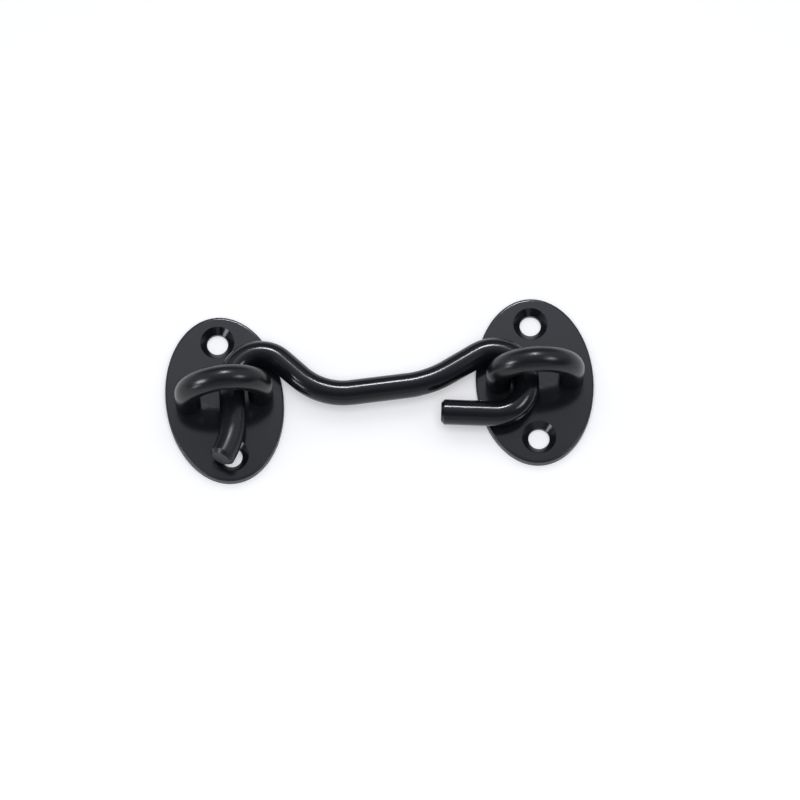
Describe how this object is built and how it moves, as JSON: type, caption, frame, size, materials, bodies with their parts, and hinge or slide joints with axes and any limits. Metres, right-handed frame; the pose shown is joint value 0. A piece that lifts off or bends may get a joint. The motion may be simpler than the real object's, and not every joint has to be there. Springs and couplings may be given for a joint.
{
  "type": "hook and eye latch",
  "caption": "Cabin hook latch: oval screw plates with U-shaped eyes, joined by a bent round bar that hangs on one eye and drops into the other to hold a door shut.",
  "frame": {"origin": "midway between the two plates, on the surface that they are screwed to", "axes": "+X from the keeper plate to the pivot plate, +Y up the plates as mounted, +Z out of the mounting surface"},
  "size_m": [0.1048, 0.0424, 0.021],
  "materials": {
    "plate_paint": "satin black enamel on stamped steel",
    "eye_paint": "gloss black enamel on bent steel bar",
    "bar_paint": "gloss black enamel on bent steel bar"
  },
  "bodies": {
    "base": {"keeper_plate": "plate_paint", "keeper_eye": "eye_paint", "pivot_plate": "plate_paint", "pivot_eye": "eye_paint"},
    "hook": {"hook": "bar_paint"}
  },
  "joints": [
    {"name": "hook_swing", "type": "hinge", "parent": "base", "child": "hook", "pos_m": [0.0291, 0, 0.006], "axis": [0, 0, -1], "range_deg": [-2.5, 120]}
  ]
}
